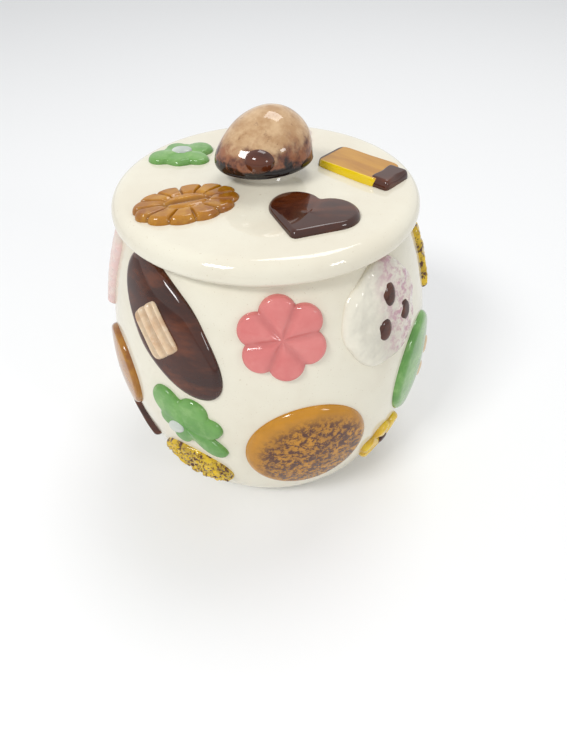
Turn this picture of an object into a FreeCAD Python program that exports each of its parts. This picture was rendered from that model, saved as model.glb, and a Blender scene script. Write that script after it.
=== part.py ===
import FreeCAD, Part
import Sketcher
import math
import os
from FreeCAD import Placement, Rotation, Vector

# Biscuit jar in glazed earthenware, in millimetres.
# Z is up, the origin is the middle of the foot, and the front of the jar faces -Y.
# Azimuths are degrees from the front, positive toward +X.

doc = FreeCAD.newDocument("biscuit_jar")
sheet = doc.addObject("Spreadsheet::Sheet", "sheet")
Fix = Sketcher.Constraint
UP = Vector(0, 0, 1)
rows = []
bodies = []


# Driving dimensions

def cells(**values):
    for alias, value in values.items():
        rows.append(alias)
        sheet.set("A%d" % len(rows), alias)
        sheet.set("B%d" % len(rows), str(value))
        sheet.setAlias("B%d" % len(rows), alias)


cells(belly_radius=98.7, belly_height=89.6, belly_arc=184.3, heel_arc=30, wall=6,
      rim_height=176.5, rim_round=2, mouth_radius=69, mouth_depth=8,
      foot_radius=48, foot_recess=2.5)
cells(seat_gap=0.4, lid_radius=84, lid_edge=12, lid_shoulder=8.5, lid_lip=3, lid_wall=6,
      ring_gap=1.2, ring_wall=4, ring_depth=6,
      collar_radius=25, collar_rise=4, neck_radius=12, neck_rise=10)
cells(knob_long=27, knob_short=22, knob_dome=28, knob_turn=24, knob_sink=3, knob_drop=8)
cells(relief=4, crease=1.2, lid_relief=4, nut_rise=3, bead_rise=1.6)


# Reliefs on the wall: where the middle lies, and the size of the outline

WALL_RELIEFS = {
    "chocolate_oval": dict(azimuth=-34.4, height=145.5, long=79, short=42),
    "oval_nut": dict(azimuth=-37.4, height=143.3, long=29, short=19),
    "pink_blossom": dict(azimuth=5.2, height=149.3, petals=6, tip=23, notch=18.5),
    "iced_round": dict(azimuth=44.2, height=147.7, long=55, short=53),
    "iced_drop_upper": dict(azimuth=45.2, height=155.6, long=13, short=9),
    "iced_drop_right": dict(azimuth=51.9, height=142.5, long=12, short=9),
    "iced_drop_lower": dict(azimuth=41, height=139.5, long=12, short=9),
    "ginger_round": dict(azimuth=13, height=70.7, long=74, short=71),
    "green_blossom": dict(azimuth=-27.5, height=86, petals=5, tip=24, notch=14),
    "green_bead": dict(azimuth=-31.6, height=83.3, long=12, short=9),
    "coconut_round": dict(azimuth=-30.5, height=40.5, long=52, short=42),
    "ochre_round": dict(azimuth=-65, height=91, long=54, short=48),
    "chocolate_finger": dict(azimuth=-64, height=46, long=36, short=14),
    "ribbed_wafer": dict(azimuth=-85, height=145, long=44, short=38),
    "lemon_bar": dict(azimuth=94, height=142, long=42, short=38),
    "leaf_biscuit": dict(azimuth=64, height=91, long=66, short=54),
    "leaf_nut_upper": dict(azimuth=74, height=92, long=12, short=7),
    "leaf_nut_lower": dict(azimuth=71, height=76, long=11, short=7),
    "yellow_blossom": dict(azimuth=50, height=40, petals=6, tip=19, notch=15.5),
    "yellow_bead": dict(azimuth=50, height=40, long=9, short=8),
    "back_heart": dict(azimuth=138, height=146, length=44, width=42),
    "back_ginger_round": dict(azimuth=176, height=80, long=72, short=64),
    "back_green_blossom": dict(azimuth=218, height=140, petals=5, tip=23, notch=14),
}

# Reliefs on the lid: the middle from the lid's axis, and the size of the outline

LID_RELIEFS = {
    "lid_green_blossom": dict(x=-49.5, y=32, petals=5, tip=20, notch=13),
    "lid_green_bead": dict(x=-49.5, y=33, long=12, short=9),
    "lid_fluted_oval": dict(x=-40, y=-28.5, long=52, short=33, slot=23),
    "lid_heart": dict(x=21, y=-44, length=44, width=42),
    "lid_wafer_bar": dict(x=50, y=13, long=38, short=25),
    "lid_wafer_dip": dict(x=68.5, y=-4.2, long=10, short=21),
    "lid_pink_blossom": dict(x=11, y=57, petals=6, tip=18, notch=14.5),
}

for name, sizes in (WALL_RELIEFS | LID_RELIEFS).items():
    cells(**{name + "_" + key: value for key, value in sizes.items()})
doc.recompute()


# Sizes worked out from the sheet, each with its value now and the expression that drives it

class Size:
    def __init__(self, value, text):
        self.value = value
        self.text = text

    def __add__(self, other):
        other = as_size(other)
        return Size(self.value + other.value, "(%s + %s)" % (self.text, other.text))

    def __sub__(self, other):
        other = as_size(other)
        return Size(self.value - other.value, "(%s - %s)" % (self.text, other.text))

    def __mul__(self, other):
        other = as_size(other)
        return Size(self.value * other.value, "(%s * %s)" % (self.text, other.text))

    def __truediv__(self, other):
        other = as_size(other)
        return Size(self.value / other.value, "(%s / %s)" % (self.text, other.text))

    def __neg__(self):
        return self * -1

    def root(self):
        return Size(math.sqrt(self.value), "sqrt(%s)" % self.text)


def as_size(item):
    return item if isinstance(item, Size) else Size(item, "(%.7g)" % item)


def size(alias):
    return Size(float(sheet.get(alias)), "sheet." + alias)


# Bodies and sketches

def new_body(name):
    body = doc.addObject("PartDesign::Body", name)
    body.Label = name
    bodies.append(body)
    return body


def origin_plane(body, role):
    return next(o for o in body.Origin.OriginFeatures if o.Role == role)


def new_sketch(body, name, support, turn=0.0, lift=None):
    sketch = body.newObject("Sketcher::SketchObject", name)
    sketch.AttachmentSupport = (support, "")
    sketch.MapMode = "FlatFace"
    sketch.AttachmentOffset = Placement(Vector(), Rotation(UP, turn))
    if lift:
        sketch.setExpression("AttachmentOffset.Base.z", lift.text)
    return sketch


def drive(sketch, constraint, amount):
    index = sketch.addConstraint(constraint)
    sketch.setExpression("Constraints[%d]" % index, amount.text)


def place(sketch, item, end, x, y):
    drive(sketch, Fix("DistanceX", -1, 1, item, end, x.value), x)
    drive(sketch, Fix("DistanceY", -1, 1, item, end, y.value), y)


def closed(sketch, sides):
    for a, b in zip(sides, sides[1:] + sides[:1]):
        sketch.addConstraint(Fix("Coincident", a, 2, b, 1))


def polygon(sketch, corners):
    # Straight sides through corners, each corner held by its two sizes
    corners = [(as_size(x), as_size(y)) for x, y in corners]
    points = [Vector(x.value, y.value, 0) for x, y in corners]
    sides = [sketch.addGeometry(Part.LineSegment(a, b))
             for a, b in zip(points, points[1:] + points[:1])]
    closed(sketch, sides)
    for side, (x, y) in zip(sides, corners):
        place(sketch, side, 1, x, y)


def rectangle(sketch, half_long, half_wide, x=0):
    x = as_size(x)
    polygon(sketch, [(x - half_long, -half_wide), (x + half_long, -half_wide),
                     (x + half_long, half_wide), (x - half_long, half_wide)])


def facets(sketch, half_long, half_short, sides=12):
    polygon(sketch, [(half_long * math.cos(a), half_short * math.sin(a))
                     for a in (2 * math.pi * (k + 0.5) / sides for k in range(sides))])


def ellipse(sketch, half_long, half_short):
    shape = sketch.addGeometry(Part.Ellipse(Vector(half_long.value, 0, 0),
                                            Vector(0, half_short.value, 0), Vector()))
    sketch.exposeInternalGeometry(shape)
    sketch.addConstraint(Fix("Coincident", shape, 3, -1, 1))
    sketch.addConstraint(Fix("Horizontal", shape + 1))
    drive(sketch, Fix("Distance", shape + 1, 2 * half_long.value), half_long * 2)
    drive(sketch, Fix("Distance", shape + 2, 2 * half_short.value), half_short * 2)


def revolve(body, sketch, angle=360, axis="V_Axis"):
    feature = body.newObject("PartDesign::Revolution", sketch.Name + "_turned")
    feature.Profile = sketch
    feature.ReferenceAxis = (sketch, [axis])
    feature.Angle = angle
    feature.Midplane = angle < 360
    doc.recompute()


def extrude(body, sketch, kind, amount, both_ways=False, upward=False):
    feature = body.newObject(kind, sketch.Name + "_solid")
    feature.Profile = sketch
    feature.setExpression("Length", amount.text)
    feature.Midplane = both_ways
    feature.Reversed = upward
    doc.recompute()
    return feature


def corner_arc(x, y, radius, start, sides):
    # Corners of a quarter round, from one angle to the next quarter
    angles = [math.radians(start + 90 * k / sides) for k in range(sides + 1)]
    return [(x + radius * math.cos(a), y + radius * math.sin(a)) for a in angles]


# Outline of the jar's wall: a long belly curve that runs into a tighter heel, in straight lengths

WALL_SIDES = 6
HEEL_SIDES = 3
BELLY_X = size("belly_radius") - size("belly_arc")
HEEL_SWING = size("belly_arc") - size("heel_arc")
HEEL_DROP = size("belly_height") - size("heel_arc")
HEEL_X = BELLY_X + (HEEL_SWING * HEEL_SWING - HEEL_DROP * HEEL_DROP).root()
HEEL_TOP = size("belly_height") - HEEL_DROP * size("belly_arc") / HEEL_SWING
SHOULDER = size("rim_height") - size("rim_round")


def wall_corner(step, rise=0):
    # Moved out from the wall by a rise, but level with the shoulder at the top step
    arc = size("belly_arc")
    height = HEEL_TOP + (SHOULDER - HEEL_TOP) * (step / WALL_SIDES)
    tall = height - size("belly_height")
    if step == WALL_SIDES:
        return BELLY_X + ((arc + rise) * (arc + rise) - tall * tall).root(), SHOULDER
    out = (arc * arc - tall * tall).root()
    grow = (arc + rise) / arc
    return BELLY_X + out * grow, size("belly_height") + tall * grow


def heel_corner(step, inset=0):
    height = HEEL_TOP * (step / HEEL_SIDES) ** 2
    tall = height - size("heel_arc")
    out = (size("heel_arc") * size("heel_arc") - tall * tall).root()
    grow = (size("heel_arc") - inset) / size("heel_arc")
    return HEEL_X + out * grow, size("heel_arc") + tall * grow


# Jar: a bellied shell with a flat rim, a plain round mouth and a turned foot

def jar_body():
    body = new_body("jar_body")
    rim = size("rim_height")
    wall = size("wall")
    soft = size("rim_round")
    mouth = size("mouth_radius")
    recess = size("foot_recess")
    foot = size("foot_radius")
    outer = [heel_corner(step) for step in range(HEEL_SIDES)]
    outer += [wall_corner(step) for step in range(WALL_SIDES + 1)]
    top = [(outer[-1][0] - soft, rim), (mouth + soft, rim), (mouth, rim - soft),
           (mouth, rim - size("mouth_depth"))]
    inner = [wall_corner(step, -wall) for step in range(WALL_SIDES - 1, -1, -2)]
    bowl = [heel_corner(step, wall) for step in range(HEEL_SIDES - 1, -1, -1)]
    base = [(0, wall), (0, recess), (foot - recess, recess), (foot, 0)]
    section = new_sketch(body, "jar_section", origin_plane(body, "XZ_Plane"))
    polygon(section, outer + top + inner + bowl + base)
    revolve(body, section)


# Wall reliefs: each one is a curved band of clay trimmed to its outline

def relief_band(name, reach, base, rise):
    body = new_body(name)
    section = new_sketch(body, name + "_band", origin_plane(body, "XZ_Plane"))
    inner = [wall_corner(step, base) for step in range(WALL_SIDES + 1)]
    outer = [wall_corner(step, base + rise) for step in range(WALL_SIDES, -1, -1)]
    polygon(section, inner + outer)
    revolve(body, section, angle=min(150, 2 * math.degrees(reach.value / 55)))
    body.Placement = Placement(Vector(), Rotation(UP, 10))
    body.setExpression("Placement.Rotation.Angle", "sheet.%s_azimuth - 90" % name)

    # Plane that touches the belly at the middle of the relief
    tall = size(name + "_height") - size("belly_height")
    out = BELLY_X + (size("belly_arc") * size("belly_arc") - tall * tall).root()
    seat = body.newObject("PartDesign::Plane", name + "_seat")
    seat.AttachmentSupport = (origin_plane(body, "YZ_Plane"), "")
    seat.MapMode = "FlatFace"
    seat.AttachmentOffset = Placement(Vector(), Rotation(Vector(1, 0, 0), 10))
    seat.setExpression("AttachmentOffset.Base.y", size(name + "_height").text)
    seat.setExpression("AttachmentOffset.Base.z", out.text)
    seat.setExpression("AttachmentOffset.Rotation.Angle", "asin(%s)" % (-tall / size("belly_arc")).text)
    doc.recompute()
    return body, seat


def sprig(name, turn, draw, reach, base=None, rise=None):
    body, seat = relief_band(name, reach, base or as_size(0), rise or size("relief"))
    sketch = new_sketch(body, name + "_outline", seat, turn)
    draw(sketch)
    waste = size("belly_radius") * 2
    rectangle(sketch, waste, waste)
    extrude(body, sketch, "PartDesign::Pocket", waste, both_ways=True)
    return body, seat


def round_sprig(name, turn):
    half_long = size(name + "_long") / 2
    half_short = size(name + "_short") / 2
    sprig(name, turn, lambda sketch: ellipse(sketch, half_long, half_short), half_long)


def topping(name, turn, rise="bead_rise"):
    # A small drop or nut that lies on a biscuit
    half_long = size(name + "_long") / 2
    half_short = size(name + "_short") / 2
    sprig(name, turn, lambda sketch: facets(sketch, half_long, half_short), half_long,
          size("relief"), size(rise))


def bar_sprig(name, turn, grooves=0):
    # A rectangular biscuit, with evenly spaced grooves across it if any
    half_long = size(name + "_long") / 2
    half_short = size(name + "_short") / 2
    body, seat = sprig(name, turn, lambda sketch: rectangle(sketch, half_long, half_short),
                       half_long * 1.4)
    if grooves:
        cut = new_sketch(body, name + "_grooves", seat, turn, size("relief") - size("crease") * 2)
        for k in range(1, grooves):
            x = half_long * (2 * k / grooves - 1)
            rectangle(cut, size("crease") / 2, half_short * 2, x)
        extrude(body, cut, "PartDesign::Pocket", size("relief") * 4, upward=True)


def petals(sketch, name):
    count = int(size(name + "_petals").value)
    tip = size(name + "_tip")
    notch = size(name + "_notch")
    rings = [sketch.addGeometry(Part.Circle(Vector(), UP, ring.value), True) for ring in (tip, notch)]
    half = math.pi / count
    lobes = []
    for k in range(count):
        spread = [(2 * k + step) * half for step in (0, 1, 2)]
        reach = [notch.value, tip.value, notch.value]
        points = [Vector(r * math.cos(a), r * math.sin(a), 0) for r, a in zip(reach, spread)]
        lobes.append(sketch.addGeometry(Part.Arc(*points)))
    for ring in rings:
        sketch.addConstraint(Fix("Coincident", ring, 3, -1, 1))
    closed(sketch, lobes)
    for lobe in lobes:
        sketch.addConstraint(Fix("PointOnObject", lobe, 1, rings[1]))
        sketch.addConstraint(Fix("Tangent", lobe, rings[0]))
    for lobe in lobes[1:]:
        sketch.addConstraint(Fix("Equal", lobes[0], lobe))
    sketch.addConstraint(Fix("PointOnObject", lobes[0], 1, -1))
    drive(sketch, Fix("Radius", rings[0], tip.value), tip)
    drive(sketch, Fix("Radius", rings[1], notch.value), notch)


def crease_petals(body, support, name, turn, lift):
    # A wedge-shaped groove between two petals, then the same groove round the blossom
    notch = size(name + "_notch")
    crease = new_sketch(body, name + "_crease", support, turn, lift)
    polygon(crease, [(notch / 4, 0), (notch * 1.2, -size("crease")), (notch * 1.2, size("crease"))])
    cut = extrude(body, crease, "PartDesign::Pocket", size("relief") * 4, upward=True)
    ring = body.newObject("PartDesign::PolarPattern", name + "_creases")
    ring.Originals = [cut]
    ring.Axis = (crease, ["N_Axis"])
    ring.Angle = 360
    ring.setExpression("Occurrences", "sheet.%s_petals" % name)
    body.Tip = ring
    doc.recompute()


def blossom_sprig(name, turn):
    body, seat = sprig(name, turn, lambda sketch: petals(sketch, name), size(name + "_tip"))
    crease_petals(body, seat, name, turn, size("relief") - size("crease") * 2)


def heart(sketch, name):
    # Point at the left on the X axis, two round lobes that cross at the right, straight flanks
    half_long = size(name + "_length") / 2
    lobe = size(name + "_width") * 0.29
    centre = (half_long - lobe, size(name + "_width") * 0.21)
    x = centre[0].value
    y = centre[1].value
    tip = Vector(-half_long.value, 0, 0)
    cleft = math.asin(y / lobe.value)
    reach = math.hypot(x - tip.x, y)
    swing = math.atan2(y, x - tip.x) + math.asin(lobe.value / reach)
    touch = Vector(x - lobe.value * math.sin(swing), y + lobe.value * math.cos(swing), 0)
    upper = sketch.addGeometry(Part.ArcOfCircle(Part.Circle(Vector(x, y, 0), UP, lobe.value),
                                                -cleft, math.pi / 2 + swing))
    lower = sketch.addGeometry(Part.ArcOfCircle(Part.Circle(Vector(x, -y, 0), UP, lobe.value),
                                                -math.pi / 2 - swing, cleft))
    flanks = [sketch.addGeometry(Part.LineSegment(touch, tip)),
              sketch.addGeometry(Part.LineSegment(tip, Vector(touch.x, -touch.y, 0)))]
    sketch.addConstraint(Fix("Coincident", flanks[0], 2, flanks[1], 1))
    sketch.addConstraint(Fix("Coincident", upper, 1, lower, 2))
    sketch.addConstraint(Fix("Tangent", upper, 2, flanks[0], 1))
    sketch.addConstraint(Fix("Tangent", lower, 1, flanks[1], 2))
    sketch.addConstraint(Fix("PointOnObject", upper, 1, -1))
    sketch.addConstraint(Fix("Equal", upper, lower))
    sketch.addConstraint(Fix("Vertical", upper, 3, lower, 3))
    drive(sketch, Fix("Radius", upper, lobe.value), lobe)
    place(sketch, upper, 3, *centre)
    place(sketch, flanks[0], 2, -half_long, as_size(0))


def heart_sprig(name, turn):
    sprig(name, turn, lambda sketch: heart(sketch, name), size(name + "_length") / 2)


# Lid: a flat disc with a rounded edge, a locating ring below and a collar for the knob

KNOB_SIDES = 10
SEAT = size("rim_height") + size("seat_gap")
LID_TOP = SEAT + size("lid_edge")


def lid():
    body = new_body("lid")
    ring = size("mouth_radius") - size("ring_gap")
    inside = ring - size("ring_wall")
    foot = SEAT - size("ring_depth")
    roof = LID_TOP - size("lid_wall")
    shoulder = size("lid_shoulder")
    lip = size("lid_lip")
    rise = size("collar_rise")
    neck = size("neck_radius")
    lip_side = corner_arc(size("lid_radius") - lip, SEAT + lip, lip, -90, 2)
    top_side = corner_arc(size("lid_radius") - shoulder, LID_TOP - shoulder, shoulder, 0, 4)
    collar = [(size("collar_radius"), LID_TOP), (neck * 1.5, LID_TOP + rise / 2),
              (neck, LID_TOP + rise * 1.4), (neck, LID_TOP + size("neck_rise"))]
    middle = [(0, LID_TOP + size("neck_rise")), (0, roof)]
    under = [(inside - size("ring_wall"), roof), (inside, foot), (ring, foot), (ring, SEAT)]
    section = new_sketch(body, "lid_section", origin_plane(body, "XZ_Plane"))
    polygon(section, lip_side + top_side + collar + middle + under)
    revolve(body, section)


def stand_on_lid(body, name, lift=0):
    body.setExpression("Placement.Base.x", "sheet.%s_x" % name)
    body.setExpression("Placement.Base.y", "sheet.%s_y" % name)
    body.setExpression("Placement.Base.z", (LID_TOP + lift).text)


def lid_sprig(name, turn, draw, lift=0, rise=None, creased=False):
    body = new_body(name)
    rise = rise or size("lid_relief")
    sketch = new_sketch(body, name + "_outline", origin_plane(body, "XY_Plane"), turn)
    draw(sketch)
    solid = extrude(body, sketch, "PartDesign::Pad", rise)
    if creased:
        crease_petals(body, origin_plane(body, "XY_Plane"), name, turn, rise - size("crease"))
    else:
        faces = solid.Shape.Faces
        top = max(range(len(faces)), key=lambda k: faces[k].CenterOfMass.z)
        edge = body.newObject("PartDesign::Chamfer", name + "_edge")
        edge.Base = (solid, ["Face%d" % (top + 1)])
        edge.setExpression("Size", (rise / 3).text)
        doc.recompute()
    stand_on_lid(body, name, lift)


def lid_topping(name, turn):
    half_long = size(name + "_long") / 2
    half_short = size(name + "_short") / 2
    lid_sprig(name, turn, lambda sketch: facets(sketch, half_long, half_short),
              size("lid_relief"), size("bead_rise"))


def lid_bar(name, turn):
    half_long = size(name + "_long") / 2
    half_short = size(name + "_short") / 2
    lid_sprig(name, turn, lambda sketch: rectangle(sketch, half_long, half_short))


def lid_blossom(name, turn):
    lid_sprig(name, turn, lambda sketch: petals(sketch, name), creased=True)


def lid_fluted_oval(turn):
    # An oval biscuit with twelve flutes round its edge, each with a crease, and a long slot
    name = "lid_fluted_oval"
    body = new_body(name)
    plane = origin_plane(body, "XY_Plane")
    half_long = size(name + "_long") / 2
    half_short = size(name + "_short") / 2
    bend = size(name + "_long") / 7
    corners = [(half_long * math.cos(a), half_short * math.sin(a))
               for a in (math.pi * k / 6 for k in range(12))]
    sketch = new_sketch(body, name + "_outline", plane, turn)
    flutes = []
    for one, other in zip(corners, corners[1:] + corners[:1]):
        a = Vector(one[0].value, one[1].value, 0)
        b = Vector(other[0].value, other[1].value, 0)
        middle = (a + b) * 0.5
        bulge = bend.value - math.sqrt(bend.value ** 2 - (b - a).Length ** 2 / 4)
        crown = middle * (1 + bulge / middle.Length)
        flutes.append(sketch.addGeometry(Part.Arc(a, crown, b)))
    closed(sketch, flutes)
    for flute, corner in zip(flutes, corners):
        place(sketch, flute, 1, *corner)
        drive(sketch, Fix("Radius", flute, bend.value), bend)
    extrude(body, sketch, "PartDesign::Pad", size("lid_relief"))
    slot = new_sketch(body, name + "_slot", plane, turn, size("lid_relief") / 2)
    ellipse(slot, size(name + "_slot") / 2, size("lid_relief") / 2)
    extrude(body, slot, "PartDesign::Pocket", size("lid_relief"), upward=True)
    creases = new_sketch(body, name + "_creases", plane, turn, size("lid_relief") - size("crease"))
    for x, y in corners:
        polygon(creases, [(x * 0.62, y * 0.62), (x * 1.12 + y * 0.03, y * 1.12 - x * 0.03),
                          (x * 1.12 - y * 0.03, y * 1.12 + x * 0.03)])
    extrude(body, creases, "PartDesign::Pocket", size("lid_relief"), upward=True)
    stand_on_lid(body, name)


def knob():
    # A nut shape, turned about its long axis and cut flat where the neck holds it
    body = new_body("knob")
    half_long = size("knob_long")
    half_short = size("knob_short")
    below = size("knob_dome") - half_short + size("knob_sink")
    section = new_sketch(body, "knob_section", origin_plane(body, "XZ_Plane"))
    polygon(section, [(half_long * math.cos(a), half_short * math.sin(a))
                      for a in (math.pi * k / KNOB_SIDES for k in range(KNOB_SIDES + 1))])
    revolve(body, section, axis="H_Axis")
    flat = new_sketch(body, "neck_seat", origin_plane(body, "XY_Plane"), lift=-below)
    rectangle(flat, half_long * 1.5, half_long * 1.5)
    extrude(body, flat, "PartDesign::Pocket", half_short)

    # A drop of icing that stands out of the front of the dome
    drop = body.newObject("PartDesign::AdditiveSphere", "drop")
    drop.setExpression("Radius", size("knob_drop").text)
    drop.setExpression("Placement.Base.x", (-half_long * 0.41).text)
    drop.setExpression("Placement.Base.y", (-half_short * 0.68).text)
    drop.setExpression("Placement.Base.z", (half_short * 0.33).text)
    doc.recompute()
    body.Placement = Placement(Vector(), Rotation(UP, 10))
    body.setExpression("Placement.Base.z", (LID_TOP + size("neck_rise") + below).text)
    body.setExpression("Placement.Rotation.Angle", "sheet.knob_turn")


# Jar and its reliefs

jar_body()
round_sprig("chocolate_oval", -45)
topping("oval_nut", -48, rise="nut_rise")
blossom_sprig("pink_blossom", 7)
round_sprig("iced_round", 60)
topping("iced_drop_upper", 80)
topping("iced_drop_right", 80)
topping("iced_drop_lower", 80)
round_sprig("ginger_round", 81)
blossom_sprig("green_blossom", 4)
topping("green_bead", 40)
round_sprig("coconut_round", -10)
round_sprig("ochre_round", 90)
bar_sprig("chocolate_finger", -38)
bar_sprig("ribbed_wafer", 90, grooves=7)
bar_sprig("lemon_bar", 80)
round_sprig("leaf_biscuit", 80)
topping("leaf_nut_upper", 70)
topping("leaf_nut_lower", 70)
blossom_sprig("yellow_blossom", 20)
topping("yellow_bead", 0)
heart_sprig("back_heart", 60)
round_sprig("back_ginger_round", 20)
blossom_sprig("back_green_blossom", 40)


# Lid and its reliefs

lid()
knob()
lid_blossom("lid_green_blossom", 18)
lid_topping("lid_green_bead", 0)
lid_fluted_oval(22)
lid_sprig("lid_heart", 70, lambda sketch: heart(sketch, "lid_heart"))
lid_bar("lid_wafer_bar", -42)
lid_bar("lid_wafer_dip", -42)
lid_blossom("lid_pink_blossom", 0)


# Check and write

os.makedirs("parts", exist_ok=True)
doc.recompute()
failed = [item.Name for item in doc.Objects if {"Invalid", "Error"} & set(item.State)]
if failed:
    raise RuntimeError("failed: " + ", ".join(failed))
for body in bodies:
    if body.Shape.isNull() or not body.Shape.isValid() or len(body.Shape.Solids) != 1:
        raise RuntimeError("%s has no single valid solid" % body.Label)
    body.Shape.exportStep("parts/%s.step" % body.Label)
    print(body.Label, round(body.Shape.Volume), body.Shape.BoundBox)
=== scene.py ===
import math

import bpy
import numpy as np
from mathutils import Matrix, Vector, noise


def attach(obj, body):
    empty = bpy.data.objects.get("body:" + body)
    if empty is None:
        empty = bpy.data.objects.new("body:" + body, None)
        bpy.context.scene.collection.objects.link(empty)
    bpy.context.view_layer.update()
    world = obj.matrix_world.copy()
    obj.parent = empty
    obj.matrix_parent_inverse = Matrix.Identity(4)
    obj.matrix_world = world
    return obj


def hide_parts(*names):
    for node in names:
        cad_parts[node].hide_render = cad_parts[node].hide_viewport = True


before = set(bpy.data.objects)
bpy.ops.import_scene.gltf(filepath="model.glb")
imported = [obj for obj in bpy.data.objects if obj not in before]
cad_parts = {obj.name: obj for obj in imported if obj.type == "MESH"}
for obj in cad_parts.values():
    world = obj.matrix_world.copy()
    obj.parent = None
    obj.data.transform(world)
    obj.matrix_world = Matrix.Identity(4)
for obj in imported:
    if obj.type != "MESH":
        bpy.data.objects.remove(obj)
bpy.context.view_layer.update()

# Jar sizes in metres
MM = 0.001
BELLY_RADIUS = 98.7 * MM
BELLY_HEIGHT = 89.6 * MM
BELLY_ARC = 184.3 * MM
HEEL_ARC = 30 * MM
WALL = 6 * MM
RIM_HEIGHT = 176.5 * MM
MOUTH_RADIUS = 69 * MM
LID_SEAT = RIM_HEIGHT + 0.4 * MM
LID_TOP = LID_SEAT + 12 * MM
LID_RADIUS = 85 * MM
KNOB_RIM = LID_TOP + 13 * MM
RELIEF = 3.9 * MM

BELLY_X = BELLY_RADIUS - BELLY_ARC
HEEL_X = BELLY_X + math.sqrt((BELLY_ARC - HEEL_ARC) ** 2 - (BELLY_HEIGHT - HEEL_ARC) ** 2)


# Meshes

def add_mesh(name, points, faces, body, slot, uv=None, cad=None, carved_darkening=None):
    mesh = bpy.data.meshes.new(name)
    mesh.from_pydata([tuple(map(float, p)) for p in points], [], faces)
    mesh.validate()
    if uv is not None:
        layer = mesh.uv_layers.new(name="local")
        corners = np.empty(len(mesh.loops), dtype=np.int32)
        mesh.loops.foreach_get("vertex_index", corners)
        layer.data.foreach_set("uv", np.asarray(uv, dtype=np.float32)[corners].ravel())
    if carved_darkening is not None:
        layer = mesh.attributes.new("carved_darkening", "FLOAT", "POINT")
        layer.data.foreach_set("value", np.asarray(carved_darkening, dtype=np.float32).ravel())
    mesh.polygons.foreach_set("use_smooth", [True] * len(mesh.polygons))
    piece = bpy.data.objects.new(name, mesh)
    bpy.context.scene.collection.objects.link(piece)
    mesh.materials.append(MATERIALS[slot])
    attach(piece, body)
    if cad:
        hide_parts(cad)
    return piece


def grid_faces(rows, columns):
    """Quads between rows of a closed ring of columns, the first row nearest the middle."""
    faces = []
    for i in range(rows - 1):
        for j in range(columns):
            k = (j + 1) % columns
            faces.append((i * columns + j, (i + 1) * columns + j, (i + 1) * columns + k, i * columns + k))
    return faces


def turned(name, outline, body, slot, cad, steps=192):
    """A solid of revolution from a closed outline of (radius, height)."""
    angles = np.linspace(0, 2 * math.pi, steps, endpoint=False)
    points = [(r * math.cos(a), r * math.sin(a), z) for r, z in outline for a in angles]
    rows = len(outline)
    faces = grid_faces(rows, steps)
    return add_mesh(name, points, faces, body, slot, cad=cad)


def sweep(centre, radius, start, end, count):
    return [(centre[0] + radius * math.cos(a), centre[1] + radius * math.sin(a))
            for a in np.linspace(start, end, count)]


def curve(points, count=10):
    """Smooth points through a few control points, by Catmull-Rom spans."""
    held = [points[0]] + list(points) + [points[-1]]
    out = []
    for p0, p1, p2, p3 in zip(held, held[1:], held[2:], held[3:]):
        for t in np.linspace(0, 1, count, endpoint=False):
            a, b, c, d = (np.array(p) for p in (p0, p1, p2, p3))
            out.append(tuple(0.5 * (2 * b + (c - a) * t + (2 * a - 5 * b + 4 * c - d) * t ** 2
                                    + (3 * b - a - 3 * c + d) * t ** 3)))
    out.append(tuple(points[-1]))
    return out


# Materials

def new_material(name):
    material = bpy.data.materials.new(name)
    material.use_nodes = True
    tree = material.node_tree
    shader = tree.nodes["Principled BSDF"]
    shader.inputs["Roughness"].default_value = 0.22
    shader.inputs["Coat Weight"].default_value = 1.0
    shader.inputs["Coat Roughness"].default_value = 0.035
    shader.inputs["Coat IOR"].default_value = 1.5
    shader.inputs["Specular IOR Level"].default_value = 0.0
    return material, tree, shader


def node(tree, kind, **settings):
    made = tree.nodes.new(kind)
    for key, value in settings.items():
        if key in made.inputs:
            made.inputs[key].default_value = value
        else:
            setattr(made, key, value)
    return made


def place_on(tree, where="Object"):
    return tree.nodes.new("ShaderNodeTexCoord").outputs[where]


def speckle(tree, coords, scale, low, high, detail=4.0, roughness=0.6, stretch=(1, 1, 1)):
    """Noise between 0 and 1, sharpened between two thresholds."""
    mapping = node(tree, "ShaderNodeMapping")
    mapping.inputs["Scale"].default_value = stretch
    tree.links.new(coords, mapping.inputs["Vector"])
    texture = node(tree, "ShaderNodeTexNoise", Scale=scale, Detail=detail, Roughness=roughness)
    tree.links.new(mapping.outputs["Vector"], texture.inputs["Vector"])
    return ramp_between(tree, texture.outputs["Fac"], low, high)


def blend(tree, factor, first, second):
    mix = node(tree, "ShaderNodeMix", data_type="RGBA")
    for socket, value in ((mix.inputs[6], first), (mix.inputs[7], second)):
        if isinstance(value, tuple):
            socket.default_value = (*value, 1)
        else:
            tree.links.new(value, socket)
    tree.links.new(factor, mix.inputs[0])
    return mix.outputs[2]


def times(tree, a, b, operation="MULTIPLY"):
    math_node = node(tree, "ShaderNodeMath", operation=operation, use_clamp=True)
    for socket, value in zip(math_node.inputs, (a, b)):
        if isinstance(value, float):
            socket.default_value = value
        else:
            tree.links.new(value, socket)
    return math_node.outputs[0]


def ramp_between(tree, value, low, high):
    ramp = node(tree, "ShaderNodeMapRange", interpolation_type="SMOOTHSTEP")
    ramp.inputs["From Min"].default_value = low
    ramp.inputs["From Max"].default_value = high
    tree.links.new(value, ramp.inputs["Value"])
    return ramp.outputs["Result"]


def along(tree, angle, low, high):
    """0 to 1 across a relief, in a direction given in degrees from its own long axis."""
    dot = node(tree, "ShaderNodeVectorMath", operation="DOT_PRODUCT")
    dot.inputs[1].default_value = (math.cos(math.radians(angle)), math.sin(math.radians(angle)), 0)
    tree.links.new(place_on(tree, "UV"), dot.inputs[0])
    return ramp_between(tree, dot.outputs["Value"], low, high)


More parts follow.
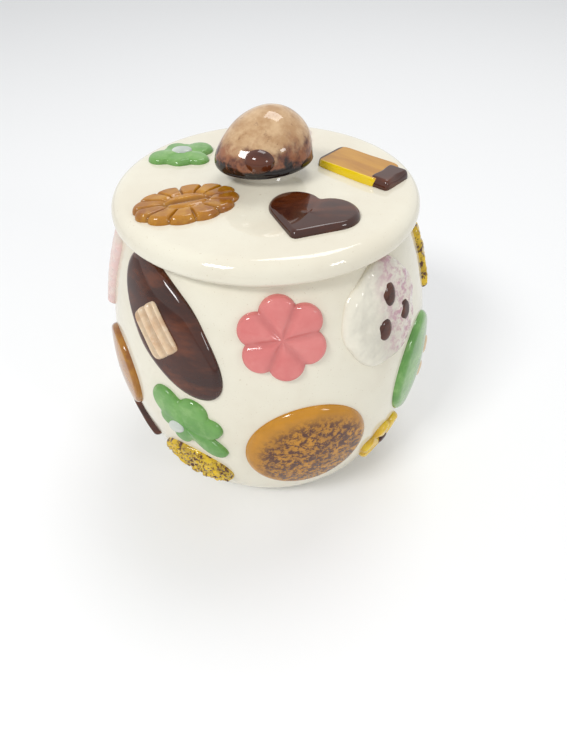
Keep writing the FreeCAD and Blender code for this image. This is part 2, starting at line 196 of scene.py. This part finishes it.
def spread(tree, low, high, centre=(0, 0)):
    """0 to 1 outward from a place on a relief."""
    length = node(tree, "ShaderNodeVectorMath", operation="DISTANCE")
    length.inputs[1].default_value = (*centre, 0)
    tree.links.new(place_on(tree, "UV"), length.inputs[0])
    return ramp_between(tree, length.outputs["Value"], low, high)


def darker_where_carved(tree, colour, dark, amount=1.0):
    """Darker where the relief is carved low: in its creases and slot, and towards the outline of a domed
    relief.
    """
    carved_darkening = node(tree, "ShaderNodeAttribute", attribute_name="carved_darkening")
    return blend(tree, times(tree, carved_darkening.outputs["Fac"], amount), colour, dark)


def dimple(tree, shader, scale=240.0, strength=0.08, distance=0.0004):
    """Faint waviness of a poured glaze."""
    texture = node(tree, "ShaderNodeTexNoise", Scale=scale, Detail=2.0)
    tree.links.new(place_on(tree), texture.inputs["Vector"])
    bump = node(tree, "ShaderNodeBump", Strength=strength, Distance=distance)
    tree.links.new(texture.outputs["Fac"], bump.inputs["Height"])
    tree.links.new(bump.outputs["Normal"], shader.inputs["Normal"])


def cream_glaze():
    material, tree, shader = new_material("cream_glaze")
    coords = place_on(tree)
    colour = blend(tree, speckle(tree, coords, 18, 0.35, 0.7), (0.79, 0.75, 0.62), (0.74, 0.685, 0.555))
    colour = blend(tree, times(tree, speckle(tree, coords, 900, 0.71, 0.76, 1), 0.35), colour,
                   (0.45, 0.33, 0.2))
    tree.links.new(colour, shader.inputs["Base Color"])
    dimple(tree, shader, 60, 0.1, 0.0006)
    return material


def mottled(name, main, thin, dark, grain=30, streak=(1, 1, 1), amount=0.5, carved_darkening=1.0):
    """One glaze brushed over the relief: thicker and darker in some patches, thinner and lighter in others.
    """
    material, tree, shader = new_material(name)
    coords = place_on(tree)
    colour = blend(tree, speckle(tree, coords, grain, 0.35, 0.65, stretch=streak), main, dark)
    wear = times(tree, speckle(tree, coords, grain * 3, 0.45, 0.75, stretch=streak), amount)
    colour = blend(tree, wear, colour, thin)
    tree.links.new(darker_where_carved(tree, colour, tuple(0.45 * c for c in dark), carved_darkening), shader.inputs["Base Color"])
    dimple(tree, shader)
    return material


def sponged(name, base, dab, low, high, grain, inner=None, side=None, strength=1.0):
    """A glaze with a second colour dabbed on through a sponge, fading outward or to one side."""
    material, tree, shader = new_material(name)
    coords = place_on(tree)
    colour = blend(tree, speckle(tree, coords, grain / 6, 0.35, 0.65), base,
                   tuple(0.82 * c for c in base))
    dabs = times(tree, speckle(tree, coords, grain, low, high, 6, 0.75), strength)
    wash = times(tree, speckle(tree, coords, grain / 4, low - 0.12, high + 0.1, 5), 0.45 * strength)
    dabs = times(tree, dabs, wash, "ADD")
    if inner:
        dabs = times(tree, dabs, times(tree, 1.0, spread(tree, *inner), "SUBTRACT"))
    if side:
        dabs = times(tree, dabs, along(tree, *side))
    tree.links.new(blend(tree, dabs, colour, dab), shader.inputs["Base Color"])
    dimple(tree, shader)
    return material


def wafer_glaze():
    """Ochre top brushed along the bar, a bare yellow front side and a dark end."""
    material, tree, shader = new_material("wafer_glaze")
    coords = place_on(tree, "UV")
    colour = blend(tree, speckle(tree, coords, 90, 0.3, 0.7, 6, stretch=(0.25, 1.4, 1)),
                   (0.56, 0.27, 0.016), (0.42, 0.175, 0.008))
    colour = blend(tree, along(tree, -90, 0.0108, 0.0116), colour, (0.84, 0.60, 0.010))
    colour = blend(tree, along(tree, 180, 0.0180, 0.0190), colour, (0.06, 0.02, 0.012))
    tree.links.new(colour, shader.inputs["Base Color"])
    dimple(tree, shader)
    return material


def knob_glaze():
    """Tan crown, brown sprayed sides and a nearly black rim, by height on the knob."""
    material, tree, shader = new_material("knob_glaze")
    coords = place_on(tree)
    split = node(tree, "ShaderNodeSeparateXYZ")
    tree.links.new(coords, split.inputs[0])
    warp = speckle(tree, coords, 120, 0.2, 0.8, 5)
    shift = node(tree, "ShaderNodeMath", operation="MULTIPLY_ADD")
    shift.inputs[1].default_value = 0.010
    tree.links.new(warp, shift.inputs[0])
    tree.links.new(split.outputs["Z"], shift.inputs[2])

    def above(level, soft):
        return ramp_between(tree, shift.outputs[0], level - soft, level + soft)

    tan = blend(tree, speckle(tree, coords, 110, 0.35, 0.65, 6), (0.62, 0.42, 0.235), (0.44, 0.255, 0.12))
    tan = blend(tree, times(tree, speckle(tree, coords, 300, 0.60, 0.72, 3), 0.5), tan, (0.2, 0.09, 0.04))
    side = blend(tree, speckle(tree, coords, 170, 0.38, 0.62, 6), (0.10, 0.028, 0.016), (0.30, 0.11, 0.045))
    colour = blend(tree, above(KNOB_RIM + 0.0155, 0.004), side, tan)
    colour = blend(tree, above(KNOB_RIM + 0.0078, 0.0018), (0.012, 0.007, 0.006), colour)
    tree.links.new(colour, shader.inputs["Base Color"])
    dimple(tree, shader, 180, 0.15)
    return material


# The glazes, by slot name
MATERIALS = {
    "cream_glaze": cream_glaze(),
    "chocolate_glaze": mottled("chocolate_glaze", (0.058, 0.011, 0.003), (0.20, 0.046, 0.010),
                               (0.034, 0.008, 0.004), grain=22, streak=(0.4, 1, 1.6), amount=0.5),
    "pink_glaze": mottled("pink_glaze", (0.70, 0.215, 0.20), (0.75, 0.29, 0.26), (0.65, 0.175, 0.165),
                          grain=40, amount=0.3, carved_darkening=0.35),
    "green_glaze": mottled("green_glaze", (0.170, 0.39, 0.090), (0.33, 0.53, 0.19),
                           (0.105, 0.29, 0.055), grain=50, carved_darkening=0.4),
    "ginger_glaze": mottled("ginger_glaze", (0.46, 0.190, 0.006), (0.60, 0.31, 0.020),
                            (0.29, 0.095, 0.010), grain=55),
    "yellow_glaze": mottled("yellow_glaze", (0.82, 0.56, 0.020), (0.86, 0.68, 0.10),
                            (0.70, 0.40, 0.010), grain=60, carved_darkening=0.6),
    "nut_glaze": mottled("nut_glaze", (0.78, 0.60, 0.40), (0.86, 0.74, 0.58), (0.64, 0.42, 0.25),
                         grain=90, carved_darkening=0.7),
    "white_glaze": sponged("white_glaze", (0.79, 0.75, 0.63), (0.50, 0.29, 0.34), 0.44, 0.62, 190,
                           side=(-60, -0.011, 0.008), strength=0.9),
    "blush_glaze": mottled("blush_glaze", (0.80, 0.70, 0.63), (0.82, 0.77, 0.68), (0.78, 0.56, 0.53),
                           grain=50, carved_darkening=0.3),
    "bead_glaze": mottled("bead_glaze", (0.58, 0.62, 0.55), (0.75, 0.78, 0.72), (0.45, 0.50, 0.45)),
    "stippled_ginger": sponged("stippled_ginger", (0.54, 0.23, 0.006), (0.085, 0.020, 0.003),
                               0.45, 0.57, 330, inner=(0.026, 0.037, (-0.003, -0.004))),
    "stippled_yellow": sponged("stippled_yellow", (0.84, 0.56, 0.012), (0.085, 0.022, 0.006),
                               0.51, 0.575, 300),
    "wafer_glaze": wafer_glaze(),
    "knob_glaze": knob_glaze(),
}


# Outlines of the reliefs: the distance from the middle to the edge, by direction

def oval(long, short):
    a = long * MM / 2
    b = short * MM / 2
    return lambda t: a * b / np.sqrt((b * np.cos(t)) ** 2 + (a * np.sin(t)) ** 2)


def pointed(long, short):
    plain = oval(long, short)
    return lambda t: plain(t) * (1 - 0.035 * np.sin(2 * t) ** 2)


def lobed(count, tip, notch):
    tip *= MM
    notch *= MM
    half = math.pi / count
    centre = (tip ** 2 - notch ** 2) / (2 * (tip - notch * math.cos(half)))

    def edge(t):
        s = np.mod(t, 2 * half) - half
        return centre * np.cos(s) + np.sqrt((tip - centre) ** 2 - (centre * np.sin(s)) ** 2)
    return edge


def softened(edge, reach=6):
    """The same outline with its corners rounded off."""
    around = np.radians(np.arange(-reach, reach + 1))
    return lambda t: sum(edge(t + a) for a in around) / len(around)


def polygon(points):
    """A star-shaped outline through points in millimetres, read by direction."""
    ring = np.array(points) * MM
    angles = np.arctan2(ring[:, 1], ring[:, 0])
    order = np.argsort(angles)
    radii = np.hypot(ring[:, 0], ring[:, 1])[order]
    angles = angles[order]
    return lambda t: np.interp(t, angles, radii, period=2 * math.pi)


def slab(long, short, power=8):
    a = long * MM / 2
    b = short * MM / 2
    return lambda t: (np.abs(np.cos(t) / a) ** power + np.abs(np.sin(t) / b) ** power) ** (-1 / power)


def heart(length, width):
    lobe = 0.29 * width
    cx = length / 2 - lobe
    cy = 0.21 * width
    reach = math.hypot(cx + length / 2, cy)
    swing = math.atan2(cy, cx + length / 2) + math.asin(lobe / reach)
    cleft = math.asin(cy / lobe)
    half = [(cx + lobe * math.cos(a), cy + lobe * math.sin(a))
            for a in np.linspace(-cleft, math.pi / 2 + swing, 60)]
    flank = [(half[-1][0] + (-length / 2 - half[-1][0]) * s, half[-1][1] * (1 - s))
             for s in np.linspace(0, 1, 40)[1:]]
    upper = half + flank
    return softened(polygon(upper + [(x, -y) for x, y in upper[1:-1]]))


# Surfaces of the reliefs: the height above the wall, by local place

def soft_edge(inside, radius, rise):
    """Rounded shoulder of glaze: inside is the distance from the outline."""
    s = np.clip(inside / radius, 0, 1)
    return rise * np.sqrt(1 - (1 - s) ** 2)


def relief(name, slot, edge, turn, wall_place, surface=None, rise=RELIEF, base=0.0, round_over=3.0,
           body="jar", rings=44, steps=216):
    """A raised biscuit, built as rings from its middle to its outline, laid on wall or lid."""
    t = np.linspace(0, 2 * math.pi, steps, endpoint=False)
    k = 1 - (1 - np.linspace(0, 1, rings)) ** 1.6
    border = edge(t)
    u = k[:, None] * border[None, :] * np.cos(t)
    v = k[:, None] * border[None, :] * np.sin(t)
    inside = (1 - k)[:, None] * border[None, :]
    h = soft_edge(inside, round_over * MM, rise)
    carved = surface(u, v, inside) if surface else np.ones_like(h)
    # How much darker each point is drawn: more where the surface is carved low, none on the edge row tucked
    # into the wall.
    carved_darkening = np.vstack([np.clip(1.5 * (0.9 - carved), 0, 1), np.zeros((1, steps))])
    h = np.vstack([h * carved + base, np.full((1, steps), base - 0.6 * MM)])
    u = np.vstack([u, u[-1:]])
    v = np.vstack([v, v[-1:]])
    c = math.cos(math.radians(turn))
    s = math.sin(math.radians(turn))
    points = wall_place(u * c - v * s, u * s + v * c, h)
    faces = [tuple(reversed(f)) for f in grid_faces(rings + 1, steps)]
    uv = np.stack([u, v], axis=-1).reshape(-1, 2)
    return add_mesh(name + "_glazed", points.reshape(-1, 3), faces, body, slot, uv=uv,
                    cad=name, carved_darkening=carved_darkening)


def on_wall(azimuth, height):
    a = math.radians(azimuth)
    height *= MM

    def radius(z):
        return BELLY_X + np.sqrt(BELLY_ARC ** 2 - (z - BELLY_HEIGHT) ** 2)

    def lay(u, v, h):
        lean = math.asin((height - BELLY_HEIGHT) / BELLY_ARC)
        start = np.array([radius(height), 0, height])
        across = np.array([0, 1, 0])
        up = np.array([-math.sin(lean), 0, math.cos(lean)])
        out = np.array([math.cos(lean), 0, math.sin(lean)])
        flat = start + u[..., None] * across + v[..., None] * up
        w = np.zeros_like(u)
        for _ in range(6):
            p = flat + w[..., None] * out
            gap = np.hypot(p[..., 0], p[..., 1]) - radius(p[..., 2])
            w = w - gap
        p = flat + w[..., None] * out
        rho = np.hypot(p[..., 0], p[..., 1])
        tilt = (p[..., 2] - BELLY_HEIGHT) / BELLY_ARC
        ring = np.sqrt(1 - tilt ** 2)
        normal = np.stack([p[..., 0] / rho * ring, p[..., 1] / rho * ring, tilt], axis=-1)
        p = p + h[..., None] * normal
        spin = a - math.pi / 2
        x = p[..., 0] * math.cos(spin) - p[..., 1] * math.sin(spin)
        y = p[..., 0] * math.sin(spin) + p[..., 1] * math.cos(spin)
        return np.stack([x, y, p[..., 2]], axis=-1)
    return lay


def on_lid(x, y):
    return lambda u, v, h: np.stack([u + x * MM, v + y * MM, h + LID_TOP], axis=-1)


def grooves(count, depth=0.3, width=1.8, puff=0.1):
    """Creases between petals, running out from the middle, with the petals puffed between."""
    def surface(u, v, inside):
        t = np.arctan2(v, u)
        r = np.hypot(u, v)
        step = 2 * math.pi / count
        off = np.abs(np.mod(t + step / 2, step) - step / 2)
        gap = r * np.sin(off)
        crease = depth * np.exp(-(gap / (width * MM)) ** 2)
        swell = puff * np.cos(off * count) * np.clip(r / (12 * MM), 0, 1)
        return 1 - puff - crease - swell
    return surface


def ellipse_angle(u, v, long, short):
    return np.arctan2(v / short, u / long)


def uneven_petals(*tips):
    """A loose blossom from (direction, reach, half width) for each petal, about a round middle."""
    def edge(t):
        out = np.full_like(t, 13 * MM)
        for direction, reach, half in tips:
            off = np.abs(np.mod(t - math.radians(direction) + math.pi, 2 * math.pi) - math.pi)
            out = np.maximum(out, reach * MM * (1 - 0.48 * (off / math.radians(half)) ** 2.2))
        return out
    return softened(edge, 4)


def fluted(long, short, flutes):
    plain = oval(long, short)

    def edge(t):
        p = ellipse_angle(np.cos(t), np.sin(t), long, short)
        return plain(t) * (1 + 0.09 * np.abs(np.sin(flutes / 2 * p)) ** 0.7)
    return edge


def fluted_top(long, short, flutes, slot):
    """Puffed flutes parted by creases, a shallow dish in the middle and a long slot in it."""
    def surface(u, v, inside):
        p = ellipse_angle(u, v, long, short)
        r = np.hypot(u / long, v / short) * 2 / MM
        off = np.abs(np.sin(flutes / 2 * p))
        outer = np.clip((r - 0.42) / 0.12, 0, 1)
        crease = 0.42 * outer * np.exp(-(off / 0.22) ** 2)
        ring = 0.22 * np.exp(-((r - 0.44) / 0.06) ** 2)
        s = (u / (slot * MM / 2)) ** 2 + (v / (2.1 * MM)) ** 2
        return 1 - crease - ring - 0.55 / (1 + s ** 4)
    return surface


def dome(flat=0.75):
    def surface(u, v, inside):
        top = inside.max()
        return flat + (1 - flat) * np.sqrt(np.clip(inside / top, 0, 1))
    return surface


def rough(scale, depth, flat=0.8):
    def surface(u, v, inside):
        bumps = np.array([noise.fractal(Vector((x * scale, y * scale, 3.0)), 1.0, 2.0, 3)
                          for x, y in zip(u.ravel(), v.ravel())]).reshape(u.shape)
        return np.clip(flat + depth * bumps, 0.25, 1.0)
    return surface


def ridged(count, width, depth=0.35):
    def surface(u, v, inside):
        return 1 - depth * (0.5 - 0.5 * np.cos(2 * math.pi * count * (v / (width * MM) + 0.5)))
    return surface


def ribbed(count, length, depth=0.4):
    def surface(u, v, inside):
        return 1 - depth * (0.5 + 0.5 * np.cos(2 * math.pi * count * (u / (length * MM) + 0.5)))
    return surface


def uneven(edge, amount, seed):
    def outline(t):
        ripple = np.array([noise.noise(Vector((1.6 * math.cos(a), 1.6 * math.sin(a), seed)))
                           for a in np.atleast_1d(t)])
        return edge(t) * (1 - amount + amount * ripple)
    return outline


# Jar and lid

def jar():
    lean = math.atan2(BELLY_HEIGHT - HEEL_ARC, HEEL_X - BELLY_X)
    rim = RIM_HEIGHT
    top = math.asin((rim - 2 * MM - BELLY_HEIGHT) / BELLY_ARC)
    inner = math.asin((rim - 13 * MM - BELLY_HEIGHT) / (BELLY_ARC - WALL))
    outline = [(0.01 * MM, 2.5 * MM), (45.5 * MM, 2.5 * MM), (47 * MM, 1 * MM), (48 * MM, 0)]
    outline += sweep((HEEL_X, HEEL_ARC), HEEL_ARC, -math.pi / 2, -lean, 14)
    outline += sweep((BELLY_X, BELLY_HEIGHT), BELLY_ARC, -lean, top, 60)[1:]
    edge = outline[-1]
    outline += sweep((edge[0] - 2 * MM, rim - 2 * MM), 2 * MM, 0.5, math.pi / 2, 6)[1:]
    outline += sweep((MOUTH_RADIUS + 2 * MM, rim - 2 * MM), 2 * MM, math.pi / 2, math.pi, 6)
    outline += [(MOUTH_RADIUS, rim - 8 * MM)]
    outline += sweep((BELLY_X, BELLY_HEIGHT), BELLY_ARC - WALL, inner, -lean, 40)
    outline += sweep((HEEL_X, HEEL_ARC), HEEL_ARC - WALL, -lean, -math.pi / 2, 10)[1:]
    outline += [(0.01 * MM, WALL)]
    turned("jar_shell", outline, "jar", "cream_glaze", "jar_body", steps=256)


def lid():
    seat = LID_SEAT
    top = LID_TOP
    ring = MOUTH_RADIUS - 1.2 * MM
    outline = curve([(0.01 * MM, top + 9.9 * MM), (15.5 * MM, top + 9.9 * MM), (16.2 * MM, top + 8 * MM),
                     (17.6 * MM, top + 5.6 * MM), (21 * MM, top + 3.5 * MM), (27 * MM, top + 1.8 * MM),
                     (37 * MM, top + 0.5 * MM), (50 * MM, top)])
    outline += sweep((LID_RADIUS - 8.5 * MM, top - 8.5 * MM), 8.5 * MM, math.pi / 2, 0, 14)
    outline += sweep((LID_RADIUS - 3 * MM, seat + 3 * MM), 3 * MM, 0, -math.pi / 2, 8)
    outline += [(ring + 1 * MM, seat), (ring, seat - 1 * MM), (ring, seat - 6 * MM),
                (ring - 4 * MM, seat - 6 * MM), (ring - 5.5 * MM, seat), (ring - 7 * MM, top - 7 * MM),
                (ring - 10 * MM, top - 6 * MM), (0.01 * MM, top - 6 * MM)]
    turned("lid_shell", outline[::-1], "lid", "cream_glaze", "lid", steps=256)


def knob():
    """A lopsided nut: a dome that leans back, drawn in to a rolled dark rim."""
    turn = math.radians(24)
    half_long = 27.5 * MM
    half_short = 22.5 * MM
    crown = 25 * MM
    tuck = 3 * MM
    levels = np.concatenate([np.linspace(-1, 0, 10)[:-1], np.linspace(0, 1, 56)])
    angles = np.linspace(0, 2 * math.pi, 176, endpoint=False)
    points = []
    for level in levels:
        if level < 0:
            ring = 0.86 + 0.14 * math.sqrt(1 - level ** 2)
            z = tuck * level
        else:
            ring = (1 - level ** 2) ** 0.56
            z = crown * level
        for a in angles:
            bump = noise.noise(Vector((math.cos(a) * 1.3, math.sin(a) * 1.3, level * 2.5)))
            wave = 1 - 0.02 + 0.035 * bump
            x = half_long * ring * wave * math.cos(a) + 4.5 * MM * max(level, 0) ** 1.5
            y = half_short * ring * wave * math.sin(a) + 2 * MM * max(level, 0) ** 1.5
            points.append((x * math.cos(turn) - y * math.sin(turn),
                           x * math.sin(turn) + y * math.cos(turn), KNOB_RIM + z))
    faces = [tuple(reversed(f)) for f in grid_faces(len(levels), len(angles))]
    add_mesh("knob_glazed", points, faces, "lid", "knob_glaze", cad="knob")


def knob_drop():
    """A drop of icing that has run down the front of the nut."""
    centre = np.array([-2.5, -17.2, 207.2]) * MM
    rows = np.linspace(0, math.pi, 24)
    angles = np.linspace(0, 2 * math.pi, 48, endpoint=False)
    points = [centre + MM * np.array([8.6 * math.sin(r) * math.cos(a), 7.4 * math.sin(r) * math.sin(a),
                                      6.6 * math.cos(r)]) for r in rows for a in angles]
    faces = [tuple(reversed(f)) for f in grid_faces(len(rows), len(angles))]
    add_mesh("knob_drop_glazed", points, faces, "lid", "chocolate_glaze")


jar()
lid()
knob()
knob_drop()
relief("chocolate_oval", "chocolate_glaze", pointed(87, 43), -45, on_wall(-34.8, 144.6), dome(0.8),
       round_over=5)
relief("oval_nut", "nut_glaze", slab(28, 18), -48, on_wall(-37.4, 143.3), ridged(3, 18, 0.5),
       rise=3 * MM, base=3.0 * MM, round_over=2)
relief("pink_blossom", "pink_glaze", lobed(6, 23, 18.5), 7, on_wall(5.2, 149.3), grooves(6))
relief("iced_round", "white_glaze", uneven(oval(62, 58), 0.07, 2.0), 60, on_wall(43.4, 146.5),
       rough(110, 0.3, 0.8), round_over=6)
for spot, azimuth, height, long in (("upper", 45.2, 155.6, 13), ("right", 51.9, 142.5, 12),
                                    ("lower", 41, 139.5, 12)):
    relief("iced_drop_" + spot, "chocolate_glaze", oval(long, 9), 80, on_wall(azimuth, height),
           rise=1.5 * MM, base=2.6 * MM, rings=14, steps=64)
relief("ginger_round", "stippled_ginger", oval(74, 71), 81, on_wall(13, 70.7), dome(0.85),
       round_over=5)
relief("green_blossom", "green_glaze",
       uneven_petals((136, 29, 36), (72, 22, 46), (10, 21.5, 38), (-46, 30, 22), (-115, 19, 34),
                     (180, 20, 34)),
       0, on_wall(-27.5, 86), dome(0.6), round_over=2.5)
relief("green_bead", "bead_glaze", oval(12, 9), 40, on_wall(-31.6, 83.3), rise=1.5 * MM, base=3.2 * MM,
       rings=14, steps=64)
relief("coconut_round", "stippled_yellow", uneven(oval(52, 42), 0.05, 5.0), -10, on_wall(-30.5, 40.5),
       rough(260, 0.6, 0.7))
relief("ochre_round", "ginger_glaze", oval(54, 48), 90, on_wall(-65, 91), dome())
relief("chocolate_finger", "chocolate_glaze", slab(36, 14), -38, on_wall(-64, 46))
relief("ribbed_wafer", "blush_glaze", slab(44, 38), 90, on_wall(-85, 145), ribbed(7, 44))
relief("lemon_bar", "stippled_yellow", slab(42, 38), 80, on_wall(94, 142), rough(200, 0.2, 0.85))
relief("leaf_biscuit", "green_glaze", oval(66, 54), 80, on_wall(64, 91), dome(), round_over=5)
for spot, azimuth, height, long in (("upper", 74, 92, 12), ("lower", 71, 76, 11)):
    relief("leaf_nut_" + spot, "nut_glaze", oval(long, 7), 70, on_wall(azimuth, height), rise=1.5 * MM,
           base=3.2 * MM, rings=14, steps=64)
relief("yellow_blossom", "yellow_glaze", lobed(6, 19, 15.5), 20, on_wall(50, 40), grooves(6))
relief("yellow_bead", "chocolate_glaze", oval(9, 8), 0, on_wall(50, 40), rise=1.5 * MM, base=3.0 * MM,
       rings=14, steps=64)
relief("back_heart", "chocolate_glaze", heart(44, 42), 60, on_wall(138, 146), steps=256)
relief("back_ginger_round", "stippled_ginger", oval(72, 64), 20, on_wall(176, 80), dome(0.85),
       round_over=5)
relief("back_green_blossom", "green_glaze", lobed(5, 23, 16), 40, on_wall(218, 140),
       grooves(5, 0.16, 2.4, 0.05))

relief("lid_green_blossom", "green_glaze",
       uneven_petals((198, 20, 38), (118, 15.5, 46), (36, 20, 40), (-32, 18.5, 34), (-95, 13.5, 48)),
       0, on_lid(-49.5, 32), dome(0.6), body="lid", round_over=2.5)
relief("lid_green_bead", "bead_glaze", oval(12, 9), 0, on_lid(-49.5, 33), rise=1.5 * MM, base=3.2 * MM,
       rings=14, steps=64, body="lid")
relief("lid_fluted_oval", "ginger_glaze", fluted(52, 33, 12), 22, on_lid(-40, -28.5),
       fluted_top(52, 33, 12, 23), body="lid", rings=64, steps=360)
relief("lid_heart", "chocolate_glaze", heart(42, 48), 66, on_lid(22, -43), dome(0.85), body="lid",
       steps=256)
relief("lid_wafer_bar", "wafer_glaze", slab(42, 25), -42, on_lid(52, 11.5), round_over=1.2,
       rise=4.4 * MM, body="lid")
relief("lid_wafer_dip", "chocolate_glaze", slab(13, 22), -42, on_lid(67, -3.2), rise=4.9 * MM,
       body="lid")
relief("lid_pink_blossom", "pink_glaze", lobed(6, 18, 14.5), 0, on_lid(11, 57), grooves(6), body="lid")


# Floor, light and camera

def floor():
    mesh = bpy.data.meshes.new("floor")
    mesh.from_pydata([(-6, -6, 0), (6, -6, 0), (6, 6, 0), (-6, 6, 0)], [], [(0, 1, 2, 3)])
    ground = bpy.data.objects.new("floor", mesh)
    bpy.context.scene.collection.objects.link(ground)
    material = bpy.data.materials.new("pale_floor")
    material.use_nodes = True
    shader = material.node_tree.nodes["Principled BSDF"]
    shader.inputs["Base Color"].default_value = (0.90, 0.90, 0.90, 1.0)
    shader.inputs["Roughness"].default_value = 0.9
    mesh.materials.append(material)


def lamp(name, place, aim, width, power):
    light = bpy.data.lights.new(name, "AREA")
    light.shape = "RECTANGLE"
    light.size = width[0]
    light.size_y = width[1]
    light.energy = power
    made = bpy.data.objects.new(name, light)
    made.location = place
    made.rotation_euler = (Vector(aim) - Vector(place)).to_track_quat("-Z", "Y").to_euler()
    bpy.context.scene.collection.objects.link(made)


def camera():
    """The photograph's viewpoint: looking down at the jar from a little above it."""
    tilt = 0.7813
    roll = -0.0139
    place = Vector((8.32 * MM, -299.04 * MM, 331.66 * MM))
    ahead = Vector((0, math.cos(tilt), -math.sin(tilt)))
    up = Vector((0, math.sin(tilt), math.cos(tilt)))
    right = Vector((1, 0, 0))
    x = right * math.cos(roll) + up * math.sin(roll)
    y = up * math.cos(roll) - right * math.sin(roll)
    data = bpy.data.cameras.new("camera")
    data.lens = 27.05
    data.sensor_width = 36
    data.clip_start = 0.01
    made = bpy.data.objects.new("camera", data)
    axes = Matrix((x, y, -ahead)).transposed().to_4x4()
    made.matrix_world = Matrix.Translation(place) @ axes
    bpy.context.scene.collection.objects.link(made)
    bpy.context.scene.camera = made


def studio():
    """White where the camera looks past the jar, and the same white where the glaze mirrors it."""
    world = bpy.data.worlds.new("studio")
    world.use_nodes = True
    tree = world.node_tree
    path = node(tree, "ShaderNodeLightPath")
    glow = (0.60, 0.61, 0.62)
    for ray in ("Is Camera Ray", "Is Glossy Ray", "Is Transmission Ray"):
        glow = blend(tree, path.outputs[ray], glow, (1.0, 1.0, 1.0))
    tree.links.new(glow, tree.nodes["Background"].inputs["Color"])
    bpy.context.scene.world = world


floor()
lamp("window", (-0.7, -0.8, 1.3), (0, 0, 0.1), (0.45, 0.3), 10)
lamp("overhead", (0.3, 0.6, 1.6), (0, 0, 0.1), (0.8, 0.5), 7)
lamp("fill", (1.2, -1.0, 0.8), (0, 0, 0.1), (0.3, 0.3), 3)
studio()
camera()
bpy.context.scene.view_settings.view_transform = "Standard"
